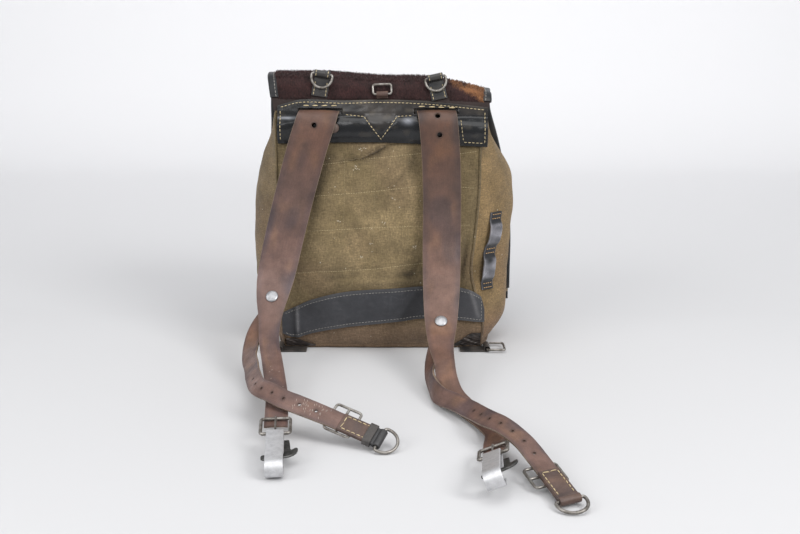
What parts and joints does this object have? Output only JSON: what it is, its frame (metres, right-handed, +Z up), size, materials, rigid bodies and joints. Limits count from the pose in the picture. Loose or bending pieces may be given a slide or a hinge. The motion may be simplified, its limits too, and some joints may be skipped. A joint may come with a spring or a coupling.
{
  "type": "military rucksack",
  "caption": "square canvas infantry pack with a hair-on hide flap, padded leather yoke, leather shoulder straps with belt hooks and side straps with rings, standing with straps drawn forward",
  "frame": {"origin": "middle of the underside of the base panel, on the table", "axes": "+Z up, +X towards the strap on the right of the picture, -Y towards the viewer, where the wearer's back would be and the straps reach forward"},
  "size_m": [0.3398, 0.5524, 0.3314],
  "materials": {
    "canvas": "coarse olive-khaki woven canvas, faded",
    "hide": "short dark brown hair on hide",
    "black_leather": "worn black leather, half gloss",
    "strap_leather": "aged brown strap leather",
    "steel": "dull steel wire and rivets",
    "aluminium": "stamped aluminium"
  },
  "bodies": {
    "pack": {"back_panel": "canvas", "front_panel": "canvas", "gusset_left": "canvas", "gusset_right": "canvas", "base_panel": "canvas", "lid_flap": "hide", "flap_binding_left": "black_leather", "flap_binding_right": "black_leather", "flap_binding_front": "black_leather", "yoke": "black_leather", "lower_band": "black_leather", "side_loop_left": "black_leather", "side_loop_right": "black_leather", "shoulder_strap_left": "strap_leather", "shoulder_strap_right": "strap_leather", "side_strap_left": "strap_leather", "side_strap_right": "strap_leather", "strap_rivet_left": "steel", "strap_rivet_right": "steel", "hook_frame_left": "steel", "hook_frame_right": "steel", "ring_chape_left": "strap_leather", "ring_chape_right": "strap_leather", "end_buckle_left": "steel", "end_buckle_right": "steel", "chape_keeper_left": "strap_leather", "top_tab_left": "black_leather", "top_tab_right": "black_leather", "centre_tab": "strap_leather", "corner_tab_left": "black_leather", "corner_tab_right": "black_leather", "corner_loop_left": "steel", "corner_loop_right": "steel"},
    "top_ring_left": {"top_ring_left": "steel"},
    "top_ring_right": {"top_ring_right": "steel"},
    "centre_loop": {"centre_loop": "steel"},
    "belt_hook_left": {"belt_hook_left": "aluminium"},
    "belt_hook_right": {"belt_hook_right": "aluminium"},
    "end_ring_left": {"end_ring_left": "steel"},
    "end_ring_right": {"end_ring_right": "steel"}
  },
  "joints": [
    {"name": "top_ring_left_swing", "type": "hinge", "parent": "pack", "child": "top_ring_left", "pos_m": [-0.0678, -0.05305, 0.32618], "axis": [-0.9883, 0.0321, 0.1489], "range_deg": [0, 150]},
    {"name": "top_ring_right_swing", "type": "hinge", "parent": "pack", "child": "top_ring_right", "pos_m": [0.05963, -0.0524, 0.32237], "axis": [-0.9771, -0.0537, -0.2058], "range_deg": [0, 150]},
    {"name": "centre_loop_swing", "type": "hinge", "parent": "pack", "child": "centre_loop", "pos_m": [-0.00002, -0.05781, 0.30408], "axis": [0.9996, 0.0068, 0.0291], "range_deg": [0, 150]},
    {"name": "belt_hook_left_swing", "type": "hinge", "parent": "pack", "child": "belt_hook_left", "pos_m": [-0.09298, -0.35906, 0.02074], "axis": [-0.9959, -0.0901, -0.0095], "range_deg": [0, 70]},
    {"name": "belt_hook_right_swing", "type": "hinge", "parent": "pack", "child": "belt_hook_right", "pos_m": [0.1003, -0.40104, 0.01859], "axis": [-0.9238, 0.0463, -0.3802], "range_deg": [0, 70]},
    {"name": "end_ring_left_swing", "type": "hinge", "parent": "pack", "child": "end_ring_left", "pos_m": [0.00148, -0.34737, 0.01035], "axis": [-0.4164, -0.7874, -0.4546], "range_deg": [0, 120]},
    {"name": "end_ring_right_swing", "type": "hinge", "parent": "pack", "child": "end_ring_right", "pos_m": [0.15754, -0.45963, 0.00619], "axis": [-0.9494, -0.2973, -0.1014], "range_deg": [0, 120]}
  ]
}
